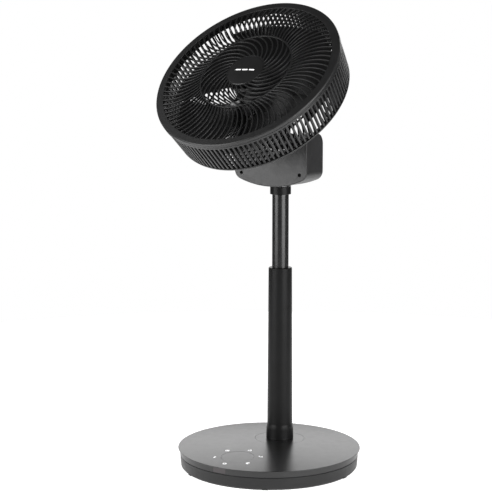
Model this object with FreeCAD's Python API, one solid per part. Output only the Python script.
import FreeCAD, Part
import math
import os

# Pedestal air-circulator fan, millimetres, +Z up.
# Origin: centre of the base on the floor. The fan blows towards -Y and the mast stands behind the centre.

V = FreeCAD.Vector
UP = V(0, 0, 1)
ALONG_X = V(1, 0, 0)
ALONG_Y = V(0, 1, 0)

# ---- driving dimensions: base ----
BASE_R = 169.3            # edge of the domed top
RIM_Z = 35.4              # height of that edge
DOME = 7.0                # rise of the top from edge to centre
LIP_T = 1.3               # thickness of the top's projecting edge
BAND_R = 165.9            # side of the cover under that edge
WALL_TOP_R = 165.7        # side wall of the tray under the seam
WALL_FOOT_R = 164.2       # side wall at its foot
SEAM_Z = 22.8             # joint between cover and tray
TRAY_Z = 1.8              # underside of the tray
SKIN = 2.5                # plastic wall thickness
FEET = 6
FOOT_R = 161.6            # outside of the rubber foot ring
FOOT_PAD_R = 163.4        # reach of its six pads
FOOT_T = 2.8
SCREW_CIRCLE = 134.0
DIAL_Y = -106.5           # centre of the control disc
DIAL_R = 29.8
GROOVE = 0.5              # gap round flush discs

# ---- driving dimensions: mast ----
MAST_Y = 38.1
ESCUTCHEON_R = 46.3
SLEEVE_TOP_R = 21.75
SLEEVE_FOOT_R = 23.7
SLEEVE_BORE_R = 19.5
SLEEVE_TOP_Z = 364.4
SLEEVE_FOOT_Z = 9.0
TUBE_R = 15.25
TUBE_WALL = 1.5
TUBE_FOOT_Z = 198.0
COLLAR_Z = 504.2
COLLAR_TOP_Z = 518.6
COLLAR_R = 19.35
RUN_GAP = 0.05            # radial clearance of a running fit
SPIGOT_R = 11.0

# ---- driving dimensions: pan housing ----
HOUSE_W = 77.4            # half width
HOUSE_FRONT_Y = 1.5
HOUSE_BACK_Y = 59.3
HOUSE_LOW_Z = 520.3       # lowest point of the curved underside
HOUSE_SIDE_Z = 537.7      # where that curve would meet the side
HOUSE_TOP_Z = 618.0
HOUSE_CORNER = 18.0
SADDLE_Z = 585.0          # lowest point of the dished top
SADDLE_R = 105.0
EAR_IN_X = 59.0           # inner faces of the two ears
COVER_T = 3.6             # thickness of the front cover

# ---- driving dimensions: head ----
PIVOT_Y = 30.4
PIVOT_Z = 604.0
TILT = 45.0               # rest attitude, from straight up towards the front
PIN_R = 4.0               # tilt pin
AXIS_RISE = 11.6          # drum axis above the tilt axis
REAR_Z = 92.4             # rear face of the cage, along the drum axis
FRONT_Z = 166.2           # front face of the cage
CAGE_R = 175.0
CAGE_REAR_R = 166.5
RIM_IN_R = 160.6
RING_R = 87.0             # middle ring of the front grille
CAP_R = 34.8
CROWN_MID = 2.1           # height of the grille's face over its rim, at the middle ring
CROWN_IN = 3.5            # and at the cap
GRILLE_DEPTH = 4.2        # depth of the front ribs
SLAT_DEPTH = 6.0          # depth of the side slats
SKIRT_DEPTH = 14.0        # front grille's inner skirt, from the face
RIBS_OUTER = 84
RIBS_INNER = 28
SLATS = 120
REAR_RIBS = 84
BLADES = 5
BLADE_TIP_R = 151.0
BLADE_ROOT = (0.0, 58.0, 113.0, 141.0)     # first and last angle, lowest and highest place
BLADE_TIP = (-30.0, 57.0, 111.5, 142.0)
HUB_R = 33.0
HUB_REAR_Z = 110.0        # impeller hub, along the drum axis
HUB_FRONT_Z = 154.0
SHAFT_R = 4.0

# ---- driving dimensions: gears ----
PAN_MODULE = 0.8
PAN_FIXED_TEETH = 40
PAN_PINION_TEETH = 16
PAN_GEAR_Z = 531.5
TILT_MODULE = 1.0
TILT_GEAR_TEETH = 40
TILT_PINION_TEETH = 16
GEAR_T = 5.0
GEAR_X = 64.5             # inner side of the tilt gear pair


# ---- helpers ----
def outline(start, *steps):
    """Closed wire in the XZ plane. A step is an end point, or a pair: arc midpoint, end point."""
    edges = []
    here = V(start[0], 0, start[1])
    first = here
    for step in steps:
        if isinstance(step[0], tuple):
            middle = V(step[0][0], 0, step[0][1])
            end = V(step[1][0], 0, step[1][1])
            edges.append(Part.Arc(here, middle, end).toShape())
        else:
            end = V(step[0], 0, step[1])
            edges.append(Part.LineSegment(here, end).toShape())
        here = end
    if (here - first).Length > 1e-6:
        edges.append(Part.LineSegment(here, first).toShape())
    return Part.Wire(edges)


def turned(start, *steps):
    """Solid of revolution about Z of an outline given as (radius, height)."""
    return Part.Face(outline(start, *steps)).revolve(V(0, 0, 0), UP, 360)


def moved(shape, x=0.0, y=0.0, z=0.0):
    copy = shape.copy()
    copy.translate(V(x, y, z))
    return copy


def spun(shape, angle, centre=V(0, 0, 0), axis=UP):
    copy = shape.copy()
    copy.rotate(centre, axis, angle)
    return copy


def polar(radius, angle, z=0.0):
    a = math.radians(angle)
    return V(radius * math.cos(a), radius * math.sin(a), z)


def rod(radius, z0, z1, x=0.0, y=0.0):
    return Part.makeCylinder(radius, z1 - z0, V(x, y, z0), UP)


def pipe(r_out, r_in, z0, z1, x=0.0, y=0.0):
    return rod(r_out, z0, z1, x, y).cut(rod(r_in, z0 - 1, z1 + 1, x, y))


def rod_x(radius, x0, x1, y, z):
    return Part.makeCylinder(radius, x1 - x0, V(x0, y, z), ALONG_X)


def rod_y(radius, y0, y1, x, z):
    return Part.makeCylinder(radius, y1 - y0, V(x, y0, z), ALONG_Y)


def block(x0, x1, y0, y1, z0, z1):
    return Part.makeBox(x1 - x0, y1 - y0, z1 - z0, V(x0, y0, z0))


def joined(first, *others):
    return first.multiFuse(list(others)).removeSplitter()


def less(shape, *tools):
    return shape.cut(list(tools))


def save(name, shape):
    solids = shape.Solids
    body = solids[0] if len(solids) == 1 else Part.makeCompound(solids)
    body.exportStep("parts/" + name + ".step")
    print(name, len(solids), "solid(s)", round(body.Volume), "mm3", body.isValid())


def dome_z(radius):
    return RIM_Z + DOME * (1 - (radius / BASE_R) ** 2)


def dome_solid(drop, z_low, radius):
    """Everything under the domed top, lowered by drop, down to z_low."""
    half = radius / 2
    return turned(
        (0, z_low), (radius, z_low), (radius, dome_z(radius) - drop),
        ((half, dome_z(half) - drop), (0, dome_z(0) - drop)))


def involute(angle):
    return math.tan(angle) - angle


def gear(module, teeth, thickness, bore_r, phase=0.0, backlash=0.12):
    """Spur gear standing on Z = 0 with a tooth centred on angle phase (degrees)."""
    pitch_r = module * teeth / 2
    base_r = pitch_r * math.cos(math.radians(20))
    tip_r = pitch_r + 0.9 * module
    root_r = pitch_r - 1.25 * module
    half = math.pi / (2 * teeth) - backlash / (2 * pitch_r)
    half += involute(math.radians(20))
    low_r = max(base_r, root_r)
    flank = []
    for step in range(4):
        r = low_r + (tip_r - low_r) * step / 3
        flank.append((r, half - involute(math.acos(min(1.0, base_r / r)))))
    points = []
    for tooth in range(teeth):
        middle = math.radians(phase) + 2 * math.pi * tooth / teeth
        side = [(root_r, flank[0][1])] + flank
        for r, a in side:
            points.append(V(r * math.cos(middle - a), r * math.sin(middle - a), 0))
        for r, a in reversed(side):
            points.append(V(r * math.cos(middle + a), r * math.sin(middle + a), 0))
    wheel = Part.Face(Part.makePolygon(points + [points[0]])).extrude(V(0, 0, thickness))
    return wheel.cut(rod(bore_r, -1, thickness + 1))


def screw(head_r, head_h, shank_r, length, foot, direction):
    """Pan-head screw: its head sits on foot, its shank runs along direction."""
    head = Part.makeCylinder(head_r, head_h, foot - direction * head_h, direction)
    shank = Part.makeCylinder(shank_r, length, foot, direction)
    slot = Part.makeCylinder(head_r * 0.45, head_h * 0.5, foot - direction * head_h, direction)
    return head.fuse(shank).cut(slot)


# ---- base ----
PAD_ANGLES = [360 / FEET * n for n in range(FEET)]
SCREW_ANGLES = [360 / FEET * (n + 0.5) for n in range(FEET)]
BOLT_ANGLES = (45, 135, 225, 315)
BOLT_CIRCLE = 35.0
GLAND_Z = 13.5
WEIGHT_TOP_Z = 10.3


def foot_ring():
    ring = pipe(FOOT_R, FOOT_R - 9, 0, FOOT_T)
    tab = block(FOOT_R - 12, FOOT_PAD_R, -5.5, 5.5, 0, FOOT_T).common(rod(FOOT_PAD_R, 0, FOOT_T))
    return joined(ring, *[spun(tab, angle) for angle in PAD_ANGLES])


def base_tray():
    """Floor and side wall; a lip above the seam lines the cover up."""
    top = WALL_TOP_R
    foot = WALL_FOOT_R
    floor = TRAY_Z + SKIN + 1
    lip = BAND_R - SKIN - 0.1
    wall = turned(
        (0, TRAY_Z), (foot - 1.2, TRAY_Z), (foot, TRAY_Z + 1.2), (top, SEAM_Z - 0.9),
        (top - 0.6, SEAM_Z - 0.3), (lip, SEAM_Z - 0.3), (lip, SEAM_Z + 3.0), (lip - 1.5, SEAM_Z + 3.0),
        (lip - 1.5, SEAM_Z - 4.0),
        (foot - SKIN, floor), (0, floor))
    bosses = []
    holes = []
    for angle in SCREW_ANGLES:
        at = polar(SCREW_CIRCLE, angle)
        bosses.append(rod(6.0, TRAY_Z, 8.0, at.x, at.y))
        holes.append(rod(3.6, TRAY_Z - 1, 5.5, at.x, at.y))
        holes.append(rod(1.7, 0, 9.0, at.x, at.y))
    for angle in BOLT_ANGLES:
        at = polar(BOLT_CIRCLE, angle)
        holes.append(rod(2.6, 0, 9.0, at.x, MAST_Y + at.y))
    gland_hole = rod_y(6.05, foot - 12, top + 5, 0, GLAND_Z)
    return less(joined(wall, *bosses), foot_ring(), gland_hole, *holes)


def base_cover():
    half = BASE_R / 2
    inner = BAND_R - SKIN
    under = RIM_Z - LIP_T
    shell = turned(
        (0, dome_z(0)), ((half, dome_z(half)), (BASE_R - 0.8, RIM_Z)),
        ((BASE_R - 0.1, RIM_Z - 0.3), (BASE_R, RIM_Z - 0.7)), (BASE_R - 0.4, under), (BAND_R + 0.3, under),
        (BAND_R, under - 0.3), (BAND_R - 0.1, SEAM_Z + 0.6), (BAND_R - 0.7, SEAM_Z), (inner, SEAM_Z),
        (inner, dome_z(inner) - 3.2), ((half, dome_z(half) - 3.2), (0, dome_z(0) - 3.2)))
    posts = []
    pilots = []
    for angle in SCREW_ANGLES:
        at = polar(SCREW_CIRCLE, angle)
        posts.append(rod(4.5, 8.0, dome_z(SCREW_CIRCLE) - 2.0, at.x, at.y))
        pilots.append(rod(1.5, 7.0, 22.0, at.x, at.y))
    for angle in (30, 150, 270):
        at = polar(34.0, angle) + V(0, DIAL_Y, 0)
        posts.append(rod(3.0, 31.0, dome_z(at.Length) - 2.0, at.x, at.y))
    shell = joined(shell, *posts)
    pole_hole = rod(ESCUTCHEON_R + GROOVE, dome_z(0) - 2.6, 60, 0, MAST_Y)
    ledge = rod(ESCUTCHEON_R - 4, 20, 60, 0, MAST_Y)
    dial_pocket = dial_zone(DIAL_R + GROOVE).cut(dome_solid(1.8, 0, BASE_R - 2))
    window_hole = window_zone(0.0, BAND_R - 2 * SKIN, BAND_R + 1)
    return less(shell, pole_hole, ledge, dial_pocket, window_hole, *pilots)


def dial_zone(radius):
    return rod(radius, 20, 60, 0, DIAL_Y)


def control_disc():
    return dial_zone(DIAL_R).common(dome_solid(0.15, 20, BASE_R - 2)).cut(dome_solid(1.8, 0, BASE_R - 1))


def control_board():
    """Touch board under the cover; it clears the cover's screw posts."""
    board = rod(46.0, 29.4, 31.0, 0, DIAL_Y)
    chips = [
        block(-6, 6, DIAL_Y - 6, DIAL_Y + 6, 27.8, 29.4),
        block(12, 20, DIAL_Y - 12, DIAL_Y - 4, 26.6, 29.4)]
    posts = [polar(SCREW_CIRCLE, angle) for angle in SCREW_ANGLES]
    return less(joined(board, *chips), *[rod(5.5, 20, 40, at.x, at.y) for at in posts])


def window_zone(gap, inner, outer):
    """Zone of the receiver window in the cover's side, made smaller all round by gap."""
    band = pipe(outer, inner, SEAM_Z + 0.9 + gap, RIM_Z - LIP_T - 0.5 - gap)
    return band.common(block(-13.5 + gap, 13.5 - gap, -200, -100, 0, 60))


def remote_window():
    return window_zone(0.25, BAND_R - SKIN + 0.1, BAND_R - 0.15)


def base_weight():
    plate = rod(117.0, TRAY_Z + SKIN + 1, WEIGHT_TOP_Z)
    well = rod(50.0, 0, 20, 0, MAST_Y)
    return less(plate, well)


def power_board():
    """Mains board on four legs that stand on the weight."""
    board = block(-106, -58, -38, 30, 15.3, 16.9)
    parts = [block(-102, -84, 4, 26, 16.9, 29), rod(6, 16.9, 30, -70, 12), rod(5, 16.9, 28, -70, -8),
             block(-100, -88, -32, -16, 16.9, 26)]
    legs = [rod(2.5, WEIGHT_TOP_Z, 15.3, x, y) for x in (-101, -63) for y in (-33, 25)]
    return joined(board, *parts, *legs)


def cord_gland():
    """Flanged grommet in the tray's back wall; its bore takes the mains lead."""
    wall_in = WALL_FOOT_R - SKIN - 1.5
    body = rod_y(6.0, wall_in - 5.5, WALL_TOP_R + 2.0, 0, GLAND_Z)
    outside = rod_y(8.0, WALL_FOOT_R + 0.9, WALL_TOP_R + 2.0, 0, GLAND_Z)
    inside = rod_y(8.0, wall_in - 4.0, wall_in - 0.3, 0, GLAND_Z)
    return less(joined(body, outside, inside), rod_y(3.5, 140, 175, 0, GLAND_Z)).cut(base_tray())


def base_screws():
    group = []
    for angle in SCREW_ANGLES:
        at = polar(SCREW_CIRCLE, angle, 5.5)
        group.append(screw(3.2, 2.2, 1.5, 14.0, at, UP))
    return Part.makeCompound(group)


# ---- mast, fixed part ----
def pole_socket():
    flange = pipe(47.5, 14.0, TRAY_Z + SKIN + 1, SLEEVE_FOOT_Z, 0, MAST_Y)
    stub = pipe(SLEEVE_BORE_R, 14.0, SLEEVE_FOOT_Z - 1, 62.0, 0, MAST_Y)
    holes = []
    for angle in BOLT_ANGLES:
        at = polar(BOLT_CIRCLE, angle)
        holes.append(rod(2.5, 0, 20.0, at.x, MAST_Y + at.y))
    return less(joined(flange, stub), *holes)


def socket_bolts():
    group = []
    for angle in BOLT_ANGLES:
        at = polar(BOLT_CIRCLE, angle, SLEEVE_FOOT_Z)
        head = Part.makeCylinder(4.6, 3.0, V(at.x, MAST_Y + at.y, SLEEVE_FOOT_Z), UP)
        shank = rod(2.45, 3.2, SLEEVE_FOOT_Z, at.x, MAST_Y + at.y)
        socket = rod(2.2, SLEEVE_FOOT_Z + 1.4, SLEEVE_FOOT_Z + 4, at.x, MAST_Y + at.y)
        group.append(joined(head, shank).cut(socket))
    return Part.makeCompound(group)


def sleeve_outside():
    return moved(turned((0, SLEEVE_FOOT_Z), (SLEEVE_FOOT_R, SLEEVE_FOOT_Z), (SLEEVE_FOOT_R, 70.0),
                        (SLEEVE_TOP_R, SLEEVE_TOP_Z), (0, SLEEVE_TOP_Z)), y=MAST_Y)


def outer_sleeve():
    return sleeve_outside().cut(rod(SLEEVE_BORE_R, 0, 400, 0, MAST_Y))


def sleeve_boot():
    boot = moved(turned((0, 39.6), (25.4, 39.6), (25.4, 43.4), (25.8, 44.2), (25.6, 46.0), (25.2, 60.0),
                        ((24.7, 66.5), (SLEEVE_FOOT_R - 0.05, 71.0)), (0, 71.0)), y=MAST_Y)
    return boot.cut(sleeve_outside())


def escutcheon():
    disc = rod(ESCUTCHEON_R, 20, 60, 0, MAST_Y).common(dome_solid(0.1, 20, BASE_R - 2))
    return less(disc, rod(80, 0, dome_z(0) - 2.6, 0, MAST_Y), rod(25.5, 0, 60, 0, MAST_Y))


def guide_bush():
    flange = turned((TUBE_R + RUN_GAP, SLEEVE_TOP_Z), (SLEEVE_TOP_R, SLEEVE_TOP_Z),
                    (SLEEVE_TOP_R, SLEEVE_TOP_Z + 2.4), (SLEEVE_TOP_R - 1.2, SLEEVE_TOP_Z + 3.5),
                    (TUBE_R + 1.2, SLEEVE_TOP_Z + 3.5), (TUBE_R + RUN_GAP, SLEEVE_TOP_Z + 2.6))
    barrel = turned((TUBE_R + RUN_GAP, SLEEVE_TOP_Z - 26), (SLEEVE_BORE_R, SLEEVE_TOP_Z - 26),
                    (SLEEVE_BORE_R, SLEEVE_TOP_Z + 0.5), (TUBE_R + RUN_GAP, SLEEVE_TOP_Z + 0.5))
    return moved(joined(flange, barrel), y=MAST_Y)


# ---- mast, sliding part ----
def inner_tube():
    return pipe(TUBE_R, TUBE_R - TUBE_WALL, TUBE_FOOT_Z, COLLAR_TOP_Z - 3, 0, MAST_Y)


def slider():
    body = pipe(SLEEVE_BORE_R - RUN_GAP, TUBE_R, TUBE_FOOT_Z + 2, TUBE_FOOT_Z + 30, 0, MAST_Y)
    floor = pipe(SLEEVE_BORE_R - RUN_GAP, 6.0, TUBE_FOOT_Z - 4, TUBE_FOOT_Z, 0, MAST_Y)
    skirt = pipe(SLEEVE_BORE_R - RUN_GAP, TUBE_R, TUBE_FOOT_Z - 1, TUBE_FOOT_Z + 4, 0, MAST_Y)
    seat = pipe(SLEEVE_BORE_R + 1, SLEEVE_BORE_R - 1.2, TUBE_FOOT_Z + 12, TUBE_FOOT_Z + 20, 0, MAST_Y)
    return joined(body, floor, skirt).cut(seat)


def brake_ring():
    ring = pipe(SLEEVE_BORE_R - 0.02, SLEEVE_BORE_R - 1.2, TUBE_FOOT_Z + 12, TUBE_FOOT_Z + 20, 0, MAST_Y)
    return ring.cut(block(-1.5, 1.5, MAST_Y, MAST_Y + 40, TUBE_FOOT_Z, TUBE_FOOT_Z + 40))


def mast_collar():
    skirt = turned((TUBE_R, COLLAR_Z), (COLLAR_R - 0.8, COLLAR_Z), (COLLAR_R, COLLAR_Z + 0.8),
                   (COLLAR_R, COLLAR_TOP_Z), (SPIGOT_R - 3, COLLAR_TOP_Z), (SPIGOT_R - 3, COLLAR_TOP_Z - 3),
                   (TUBE_R, COLLAR_TOP_Z - 3))
    return moved(skirt, y=MAST_Y)


def pan_spigot():
    stem = moved(turned((SPIGOT_R - 3, COLLAR_TOP_Z), (SPIGOT_R + 2.5, COLLAR_TOP_Z),
                        (SPIGOT_R + 2.5, COLLAR_TOP_Z + 1.2), (SPIGOT_R, COLLAR_TOP_Z + 1.2),
                        (SPIGOT_R, PAN_GEAR_Z + GEAR_T + 2.2), (SPIGOT_R - 3, PAN_GEAR_Z + GEAR_T + 2.2)),
                 y=MAST_Y)
    return stem


def pan_fixed_gear():
    wheel = gear(PAN_MODULE, PAN_FIXED_TEETH, GEAR_T, SPIGOT_R, phase=180.0)
    return moved(wheel, y=MAST_Y, z=PAN_GEAR_Z)


def retaining_ring():
    z = PAN_GEAR_Z + GEAR_T
    ring = pipe(SPIGOT_R + 3.0, SPIGOT_R, z, z + 1.5, 0, MAST_Y)
    return ring.cut(block(-3, 3, MAST_Y, MAST_Y + 30, z - 1, z + 3))


# ---- pan housing ----
def house_outline(inset):
    """Front view of the housing: shield with curved underside, ears and dished top."""
    w = HOUSE_W - inset
    arc_r = (HOUSE_W ** 2 + (HOUSE_SIDE_Z - HOUSE_LOW_Z) ** 2) / (2 * (HOUSE_SIDE_Z - HOUSE_LOW_Z))
    arc_z = HOUSE_LOW_Z + arc_r
    low_r = arc_r - inset
    corner = HOUSE_CORNER - inset
    cx = w - corner
    cz = arc_z - math.sqrt((low_r - corner) ** 2 - cx ** 2)
    tx = cx * low_r / (low_r - corner)
    tz = arc_z - (arc_z - cz) * low_r / (low_r - corner)
    mid = math.atan2(cz - arc_z, cx) / 2
    mx = cx + corner * math.cos(mid)
    mz = cz + corner * math.sin(mid)
    top = HOUSE_TOP_Z - inset
    ear = EAR_IN_X + inset
    dish_r = SADDLE_R + inset
    dish_z = SADDLE_Z - inset + dish_r
    ez = dish_z - math.sqrt(dish_r ** 2 - ear ** 2)
    soft = 3.0
    return outline(
        (w, cz), (w, top - soft), ((w - 0.3 * soft, top - 0.3 * soft), (w - soft, top)),
        (ear + soft, top), ((ear + 0.3 * soft, top - 0.3 * soft), (ear, top - soft)), (ear, ez),
        ((0, SADDLE_Z - inset), (-ear, ez)), (-ear, top - soft),
        ((-ear - 0.3 * soft, top - 0.3 * soft), (-ear - soft, top)), (-w + soft, top),
        ((-w + 0.3 * soft, top - 0.3 * soft), (-w, top - soft)), (-w, cz),
        ((-mx, mz), (-tx, tz)), ((0, HOUSE_LOW_Z + inset), (tx, tz)), ((mx, mz), (w, cz)))


def house_side(inset):
    """Side view of the housing: flat front, rounded back."""
    y0 = HOUSE_FRONT_Y + inset
    y1 = HOUSE_BACK_Y - inset
    z0 = HOUSE_LOW_Z - 5 + inset
    z1 = HOUSE_TOP_Z - inset
    high = 20.0 - inset
    low = 16.0 - inset
    cut = math.sqrt(0.5)
    flat = outline(
        (y0, z0), (y1 - low, z0), ((y1 - low + low * cut, z0 + low - low * cut), (y1, z0 + low)),
        (y1, z1 - high), ((y1 - high + high * cut, z1 - high + high * cut), (y1 - high, z1)), (y0, z1))
    face = Part.Face(flat)
    face.rotate(V(0, 0, 0), UP, 90)
    return moved(face, x=-100).extrude(V(200, 0, 0))


def house_solid(inset):
    front = moved(Part.Face(house_outline(inset)), y=HOUSE_FRONT_Y - 10).extrude(V(0, 100, 0))
    return front.common(house_side(inset))


COVER_SCREWS = [(-62.3, 544.1), (62.3, 544.1)]
COVER_BACK_Y = HOUSE_FRONT_Y + COVER_T
TILT_CENTRES = TILT_MODULE * (TILT_GEAR_TEETH + TILT_PINION_TEETH) / 2
PAN_CENTRES = PAN_MODULE * (PAN_FIXED_TEETH + PAN_PINION_TEETH) / 2
MOTOR_Z = PIVOT_Z - TILT_CENTRES


def yoke_rear_shell():
    hollow = house_solid(SKIN)
    body = house_solid(0).cut(block(-100, 100, -50, COVER_BACK_Y, 500, 700))
    body = less(body, hollow, moved(hollow, y=-10))
    posts = []
    holes = []
    for x, z in COVER_SCREWS:
        posts.append(rod_y(4.2, COVER_BACK_Y, HOUSE_BACK_Y - 1, x, z))
        holes.append(rod_y(1.5, 0, COVER_BACK_Y + 20, x, z))
    for side in (-1, 1):
        x0, x1 = sorted((side * (EAR_IN_X - 8.0), side * (EAR_IN_X + 4.0)))
        posts.append(rod_x(9.0, x0, x1, PIVOT_Y, PIVOT_Z))
    boss = turned((0, COLLAR_TOP_Z + 1.2), (COLLAR_R, COLLAR_TOP_Z + 1.2), (COLLAR_R, 530.5), (0, 530.5))
    body = joined(body, moved(boss, y=MAST_Y), *posts)
    body = body.cut(rod_x(6.0, -90, 90, PIVOT_Y, PIVOT_Z).common(block(-72, 72, 0, 60, 550, 650)))
    return less(body, rod(13.5, 500, 540, 0, MAST_Y), pan_sweep_room(), *holes)


def pan_sweep_room():
    return rod(17.8, 530.5, 545, 0, MAST_Y)


def yoke_front_cover():
    plate = house_solid(0).common(block(-100, 100, -50, COVER_BACK_Y, 500, 700))
    edge = plate.makeFillet(1.2, front_edges(plate))
    rim = house_solid(SKIN + 0.2).cut(house_solid(SKIN + 2.0))
    rim = rim.common(block(-100, 100, COVER_BACK_Y - 0.5, COVER_BACK_Y + 2.0, 500, 700))
    holes = []
    for x, z in COVER_SCREWS:
        holes.append(rod_y(2.8, -10, HOUSE_FRONT_Y + 2.0, x, z))
        holes.append(rod_y(1.6, -10, 20, x, z))
    rim_gaps = [rod_y(5.0, COVER_BACK_Y, COVER_BACK_Y + 5, x, z) for x, z in COVER_SCREWS]
    rim = less(rim, *rim_gaps)
    return less(joined(edge, rim), *holes)


def front_edges(plate):
    found = []
    for edge in plate.Edges:
        box = edge.BoundBox
        if box.YMax < HOUSE_FRONT_Y + 0.01:
            found.append(edge)
    return found


def yoke_screws():
    group = [screw(2.6, 1.6, 1.5, 16.0, V(x, HOUSE_FRONT_Y + 2.0, z), ALONG_Y) for x, z in COVER_SCREWS]
    return Part.makeCompound(group)


def pan_bush():
    bush = moved(turned((SPIGOT_R + RUN_GAP, COLLAR_TOP_Z + 1.3), (13.5, COLLAR_TOP_Z + 1.3), (13.5, 530.5),
                        (15.5, 530.5), (15.5, PAN_GEAR_Z - 0.2), (SPIGOT_R + RUN_GAP, PAN_GEAR_Z - 0.2)),
                 y=MAST_Y)
    return bush


def motor_can(radius, height, boss_h, shaft_len):
    """Small geared motor standing on its shaft end: shaft points down from Z = 0."""
    can = rod(radius, 0, height)
    boss = rod(4.5, -boss_h, 0)
    ears = block(-3.5, 3.5, -radius - 3.5, radius + 3.5, 0, 1.0)
    shaft = rod(2.0, -shaft_len, 0)
    tag = block(-radius - 2.5, -radius + 1, -7, 7, 2, height - 3)
    return joined(can, boss, ears, shaft, tag)


def pan_motor():
    body = motor_can(14.0, 19.0, 1.5, 8.4)
    return moved(body, x=-PAN_CENTRES, y=MAST_Y, z=PAN_GEAR_Z + GEAR_T + 3.2)


def pan_pinion():
    wheel = gear(PAN_MODULE, PAN_PINION_TEETH, GEAR_T, 2.0, phase=180.0 / PAN_PINION_TEETH)
    return moved(wheel, x=-PAN_CENTRES, y=MAST_Y, z=PAN_GEAR_Z)


def tilt_motor():
    body = motor_can(14.0, 19.0, 1.5, 11.0)
    body.rotate(V(0, 0, 0), ALONG_Y, -90)
    return moved(body, x=GEAR_X - 2.0, y=PIVOT_Y, z=MOTOR_Z)


def gear_side(wheel):
    """Stand a gear on its edge: its axis along X, its angle zero upwards (+Z)."""
    turned_wheel = wheel.copy()
    turned_wheel.rotate(V(0, 0, 0), ALONG_Y, -90)
    turned_wheel.translate(V(GEAR_T, 0, 0))
    return turned_wheel


def tilt_pinion():
    wheel = gear(TILT_MODULE, TILT_PINION_TEETH, GEAR_T, 2.0, phase=180.0 / TILT_PINION_TEETH)
    return moved(gear_side(wheel), x=GEAR_X, y=PIVOT_Y, z=MOTOR_Z)


def tilt_bushes():
    group = []
    for side in (-1, 1):
        x0, x1 = sorted((side * (EAR_IN_X - 8.0), side * (EAR_IN_X + 4.0)))
        bush = rod_x(6.0, x0, x1, PIVOT_Y, PIVOT_Z)
        group.append(bush.cut(rod_x(PIN_R + RUN_GAP, -90, 90, PIVOT_Y, PIVOT_Z)))
    return Part.makeCompound(group)


# ---- head: built round the drum axis, then tilted into place ----
def tilted(shape):
    """From the drum's own frame (axis = Z, origin beside the tilt axis) to its rest attitude."""
    placed = moved(shape, y=AXIS_RISE)
    placed.rotate(V(0, 0, 0), ALONG_X, TILT)
    placed.translate(V(0, PIVOT_Y, PIVOT_Z))
    return placed


def tilt_hub():
    sag = SADDLE_R - math.sqrt(SADDLE_R ** 2 - 50.0 ** 2)
    thick = 17.0
    spindle = Part.Face(outline((-50, 0), (-50, thick - sag), ((0, thick), (50, thick - sag)), (50, 0)))
    hub = moved(spindle.revolve(V(0, 0, 0), ALONG_X, 360), y=-AXIS_RISE)
    neck = block(-17, 17, -AXIS_RISE - 13.5, -AXIS_RISE + 21, 0, MOTOR_SEAT_Z)
    neck = neck.makeFillet(5.0, [e for e in neck.Edges if abs(e.BoundBox.ZLength - MOTOR_SEAT_Z) < 0.01])
    plate = rod(30.0, MOTOR_SEAT_Z, MOTOR_SEAT_Z + 4)
    bores = rod_x(PIN_R, -60, 60, -AXIS_RISE, 0)
    lead_way = rod(3.0, 12, 60)
    head_room = bolt_holes(3.3, 0, MOTOR_SEAT_Z)
    return tilted(less(joined(hub, neck, plate), bores, lead_way, *head_room, *bolt_holes(1.6, 30, 45)))


MOTOR_BOLT_CIRCLE = 24.0
MOTOR_SEAT_Z = 36.5       # the hub's round seat under the motor


def bolt_holes(radius, z0, z1):
    group = []
    for angle in BOLT_ANGLES:
        at = polar(MOTOR_BOLT_CIRCLE, angle)
        group.append(rod(radius, z0, z1, at.x, at.y))
    return group


def tilt_pin():
    return moved(rod_x(PIN_R, -68, GEAR_X + GEAR_T + 1.5, 0, 0), y=PIVOT_Y, z=PIVOT_Z)


def tilt_gear():
    """Toothed sector under the pin; it stays in mesh from straight up to level."""
    wheel = gear(TILT_MODULE, TILT_GEAR_TEETH, GEAR_T, PIN_R, phase=180.0)
    hub = pipe(7.5, PIN_R, 0, GEAR_T)
    reach = 30.0
    wedge = []
    for angle in (0, 120, 150, 180, 210, 240):
        wedge.append(V(0, 0, 0) if angle == 0 else polar(reach, angle + 4.5))
    sector = Part.Face(Part.makePolygon(wedge + [wedge[0]])).extrude(V(0, 0, GEAR_T))
    sector_gear = joined(wheel.common(sector), hub)
    return moved(gear_side(sector_gear), x=GEAR_X, y=PIVOT_Y, z=PIVOT_Z)


CAGE_SCREWS = [polar(46.0, 90 * n) for n in range(4)]


def motor_back_cover():
    shell = turned(
        (30.2, 37.0), (38, 37.0), ((46.5, 40.5), (50.5, 49.0)), (51.5, REAR_Z - 3.2), (49.2, REAR_Z - 3.2),
        (48.2, 49.6), ((44.8, 42.4), (37.6, 39.4)), (30.2, 39.4))
    vents = []
    for n in range(24):
        slot = block(44, 60, -1.2, 1.2, 56, 80)
        vents.append(spun(slot, 15 * n))
    return tilted(less(shell, *vents))


def motor_plate():
    """Front bearing plate: the stator, the rear cover and the cage are screwed to it."""
    plate = pipe(49.0, 9.0, REAR_Z - 8.0, REAR_Z - 3.4)
    boss = pipe(14.0, 9.0, REAR_Z - 20.0, REAR_Z - 3.4)
    spacers = []
    for angle in BOLT_ANGLES:
        at = polar(MOTOR_BOLT_CIRCLE, angle)
        spacers.append(rod(4.0, MOTOR_SEAT_Z + 4, REAR_Z - 7.5, at.x, at.y))
    cage_holes = [rod(1.6, REAR_Z - 9, REAR_Z, p.x, p.y) for p in CAGE_SCREWS]
    return tilted(less(joined(plate, boss, *spacers), *bolt_holes(1.5, 40, 54), *cage_holes))


def motor_bolts():
    group = []
    for angle in BOLT_ANGLES:
        at = polar(MOTOR_BOLT_CIRCLE, angle, MOTOR_SEAT_Z)
        group.append(screw(2.8, 2.0, 1.5, 15.0, at, UP))
    return tilted(Part.makeCompound(group))


def motor_bearings():
    group = []
    for z0 in (REAR_Z - 19.5, REAR_Z - 9.0):
        ring = turned((SHAFT_R + 0.02, z0), (9.0, z0), (9.0, z0 + 5.0), (SHAFT_R + 0.02, z0 + 5.0))
        group.append(ring)
    return tilted(Part.makeCompound(group))


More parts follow.
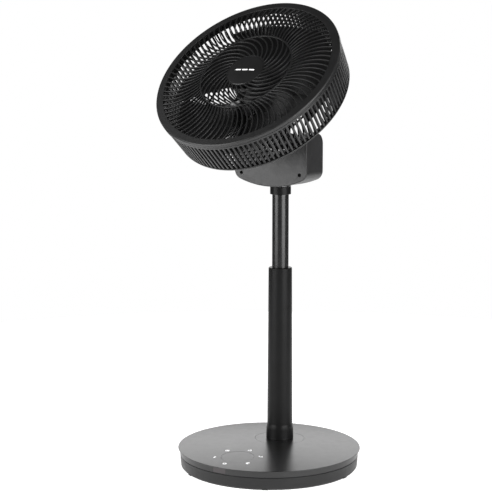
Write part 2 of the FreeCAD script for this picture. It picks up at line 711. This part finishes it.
def motor_stator():
    core = pipe(18.0, 14.0, REAR_Z - 20.0, REAR_Z - 9.5)
    return tilted(core)


def rotor_cup():
    z0 = REAR_Z - 26.0
    cup = turned((SHAFT_R, z0), (19.6, z0), (19.6, REAR_Z - 9.0), (18.4, REAR_Z - 9.0), (18.4, z0 + 2.0),
                 (7.0, z0 + 2.0), (7.0, z0 + 5.5), (SHAFT_R, z0 + 5.5))
    return tilted(cup)


def rotor_shaft():
    shaft = rod(SHAFT_R, REAR_Z - 28.0, 149.0)
    flat = block(SHAFT_R - 0.8, SHAFT_R + 1, -10, 10, 112, 140)
    return tilted(shaft.cut(flat))


def basket_slat():
    """One side slat: straight along the drum, bent inwards at the rear corner."""
    out_r = CAGE_R - 1.2
    depth = SLAT_DEPTH
    slat = outline(
        (out_r - depth, FRONT_Z - 11.5), (out_r, FRONT_Z - 11.5), (CAGE_REAR_R + 1.6, REAR_Z + 8.5),
        ((CAGE_REAR_R - 0.6, REAR_Z + 3.0), (CAGE_REAR_R - 5.5, REAR_Z)),
        (CAGE_REAR_R - 7.5, REAR_Z), (CAGE_REAR_R - 7.5, REAR_Z + 3.2),
        ((CAGE_REAR_R - 3.8, REAR_Z + 5.0), (CAGE_REAR_R + 1.6 - depth, REAR_Z + 9.2)))
    return moved(Part.Face(slat), y=-1.9).extrude(V(0, 3.8, 0))


def arc_rib(points, width, z0, z1):
    """Flat curved rib through three (radius, angle) points, extruded from z0 to z1."""
    a, b, c = [polar(r, t) for r, t in points]
    curve = Part.Arc(a, b, c).toShape().Curve
    centre = curve.Center
    radius = curve.Radius
    ends = []
    for r in (radius - width / 2, radius + width / 2):
        ends.append([centre + (p - centre) * (r / radius) for p in (a, b, c)])
    inner, outer = ends
    edges = [
        Part.Arc(inner[0], inner[1], inner[2]).toShape(),
        Part.LineSegment(inner[2], outer[2]).toShape(),
        Part.Arc(outer[2], outer[1], outer[0]).toShape(),
        Part.LineSegment(outer[0], inner[0]).toShape()]
    return moved(Part.Face(Part.Wire(edges)), z=z0).extrude(V(0, 0, z1 - z0))


def around(shape, count):
    return [spun(shape, 360 * n / count) for n in range(count)]


def rear_grille():
    front_hoop = turned(
        (CAGE_R - 6.5, FRONT_Z - 12.0), (CAGE_R - 1.0, FRONT_Z - 12.0), (CAGE_R - 0.3, FRONT_Z - 11.0),
        (CAGE_R - 0.3, FRONT_Z - 7.6), (CAGE_R - 6.5, FRONT_Z - 7.6))
    rear_hoop = turned(
        (CAGE_REAR_R - 8.5, REAR_Z), (CAGE_REAR_R - 4.0, REAR_Z), (CAGE_REAR_R - 4.0, REAR_Z + 3.0),
        (CAGE_REAR_R - 8.5, REAR_Z + 3.0))
    middle_hoop = pipe(111.0, 108.0, REAR_Z, REAR_Z + 3.2)
    seat = pipe(56.0, 42.0, REAR_Z - 3.2, REAR_Z + 3.2)
    rib = arc_rib([(55.0, 0.0), (110.0, -24.0), (CAGE_REAR_R - 6.5, -36.0)], 3.0, REAR_Z, REAR_Z + 3.0)
    bars = around(basket_slat(), SLATS) + around(rib, REAR_RIBS)
    cage = joined(front_hoop, rear_hoop, middle_hoop, seat, *bars)
    holes = [rod(1.7, REAR_Z - 5, REAR_Z + 5, p.x, p.y) for p in CAGE_SCREWS]
    return tilted(less(cage, *holes))


def cage_screws():
    group = [screw(2.9, 2.0, 1.6, 9.5, p + V(0, 0, REAR_Z + 3.2), V(0, 0, -1)) for p in CAGE_SCREWS]
    return tilted(Part.makeCompound(group))


def front_grille():
    depth = GRILLE_DEPTH
    rim = turned(
        (RIM_IN_R, FRONT_Z - 4.5), (RIM_IN_R, FRONT_Z - 0.6), (RIM_IN_R + 0.8, FRONT_Z), (172.3, FRONT_Z),
        ((174.2, FRONT_Z - 0.8), (CAGE_R, FRONT_Z - 2.7)), (CAGE_R, FRONT_Z - 7.0), (172.4, FRONT_Z - 7.0),
        (172.4, FRONT_Z - 4.5))
    skin = turned(
        (CAP_R - 1, FRONT_Z + CROWN_IN - depth), (CAP_R - 1, FRONT_Z + CROWN_IN), (CAP_R, FRONT_Z + CROWN_IN),
        (RING_R, FRONT_Z + CROWN_MID), (RIM_IN_R + 1, FRONT_Z - 0.4), (RIM_IN_R + 1, FRONT_Z - 0.4 - depth),
        (RING_R, FRONT_Z + CROWN_MID - depth), (CAP_R, FRONT_Z + CROWN_IN - depth))
    low = FRONT_Z - 8
    high = FRONT_Z + 8
    outer_rib = arc_rib([(RING_R, -1.6), (124.0, 4.6), (RIM_IN_R + 0.5, 0.8)], 2.2, low, high).common(skin)
    inner_rib = arc_rib([(CAP_R + 1.0, -4.4), (62.0, 20.8), (RING_R, 47.5)], 2.4, low, high).common(skin)
    ring = skin.common(pipe(RING_R + 1.4, RING_R - 1.4, low, high))
    seat = pipe(CAP_R + 1.4, CAP_R - 3.0, FRONT_Z - 1.0, FRONT_Z + 1.4)
    wall = pipe(CAP_R + 1.4, CAP_R + 0.2, FRONT_Z - 1.0, FRONT_Z + 3.4)
    skirt = pipe(RIM_IN_R + 2.4, RIM_IN_R, FRONT_Z - SKIRT_DEPTH, FRONT_Z - 4.0)
    ribs = around(outer_rib, RIBS_OUTER) + around(inner_rib, RIBS_INNER)
    return tilted(joined(rim, skirt, ring, seat, wall, *ribs))


def grille_cap():
    edge_z = FRONT_Z + 3.6
    face_r = CAP_R - 0.8
    rise = 1.0
    crown_r = (face_r ** 2 + rise ** 2) / (2 * rise)
    half_z = edge_z + rise - crown_r + math.sqrt(crown_r ** 2 - face_r ** 2 / 4)
    cap = turned((0, FRONT_Z + 1.4), (CAP_R, FRONT_Z + 1.4), (CAP_R, edge_z - 0.7), (face_r, edge_z),
                 ((face_r / 2, half_z), (0, edge_z + rise)))
    spots = [polar(30.0, 120 * n + 30) for n in range(3)]
    pegs = [rod(1.6, FRONT_Z - 2.2, FRONT_Z + 2.0, p.x, p.y) for p in spots]
    return tilted(joined(cap, *pegs))


def grille_clips():
    """Snap hooks that hold the front grille to the basket hoop."""
    group = []
    for n in range(6):
        hook = block(166.2, 171.4, -5, 5, FRONT_Z - 7.4, FRONT_Z - 4.6)
        group.append(spun(hook, 60 * n + 30))
    return tilted(Part.makeCompound(group))


# ---- impeller ----
def blade():
    """One wide swept blade: a ruled skin between a root helix and a tip helix, thickened along the axis."""
    root = helix_edge(HUB_R - 1.5, *BLADE_ROOT)
    tip = helix_edge(BLADE_TIP_R, *BLADE_TIP)
    return Part.makeRuledSurface(root, tip).extrude(V(0, 0, 2.2))


def helix_edge(radius, angle0, angle1, z0, z1):
    points = []
    for step in range(7):
        share = step / 6
        lift = 0.5 - 0.5 * math.cos(math.pi * share)
        z = z0 + (z1 - z0) * (0.6 * share + 0.4 * lift)
        points.append(polar(radius, angle0 + (angle1 - angle0) * share, z))
    curve = Part.BSplineCurve()
    curve.interpolate(points)
    return curve.toShape()


def impeller():
    hub = turned(
        (SHAFT_R, HUB_REAR_Z), (HUB_R - 2, HUB_REAR_Z), (HUB_R, HUB_REAR_Z + 2), (HUB_R, HUB_FRONT_Z - 4),
        (HUB_R - 3, HUB_FRONT_Z - 1.5), (18, HUB_FRONT_Z), (18, 149.0), (SHAFT_R, 149.0), (SHAFT_R, 143.0),
        (12, 143.0), (12, 140.0), (SHAFT_R, 140.0))
    return tilted(joined(hub, *around(blade(), BLADES)))


NODES = {
    "foot_ring": foot_ring,
    "base_tray": base_tray,
    "base_cover": base_cover,
    "control_disc": control_disc,
    "control_board": control_board,
    "remote_window": remote_window,
    "base_weight": base_weight,
    "power_board": power_board,
    "cord_gland": cord_gland,
    "base_screws": base_screws,
    "pole_socket": pole_socket,
    "socket_bolts": socket_bolts,
    "outer_sleeve": outer_sleeve,
    "sleeve_boot": sleeve_boot,
    "pole_escutcheon": escutcheon,
    "guide_bush": guide_bush,
    "inner_tube": inner_tube,
    "tube_slider": slider,
    "brake_ring": brake_ring,
    "mast_collar": mast_collar,
    "pan_spigot": pan_spigot,
    "pan_fixed_gear": pan_fixed_gear,
    "retaining_ring": retaining_ring,
    "yoke_rear_shell": yoke_rear_shell,
    "yoke_front_cover": yoke_front_cover,
    "yoke_screws": yoke_screws,
    "pan_bush": pan_bush,
    "pan_motor": pan_motor,
    "pan_pinion": pan_pinion,
    "tilt_motor": tilt_motor,
    "tilt_pinion": tilt_pinion,
    "tilt_bushes": tilt_bushes,
    "tilt_hub": tilt_hub,
    "tilt_pin": tilt_pin,
    "tilt_gear": tilt_gear,
    "motor_back_cover": motor_back_cover,
    "motor_plate": motor_plate,
    "motor_bolts": motor_bolts,
    "motor_bearings": motor_bearings,
    "motor_stator": motor_stator,
    "rotor_cup": rotor_cup,
    "rotor_shaft": rotor_shaft,
    "rear_grille": rear_grille,
    "cage_screws": cage_screws,
    "front_grille": front_grille,
    "grille_cap": grille_cap,
    "grille_clips": grille_clips,
    "impeller": impeller,
}

os.makedirs("parts", exist_ok=True)
for node, make in NODES.items():
    save(node, make())
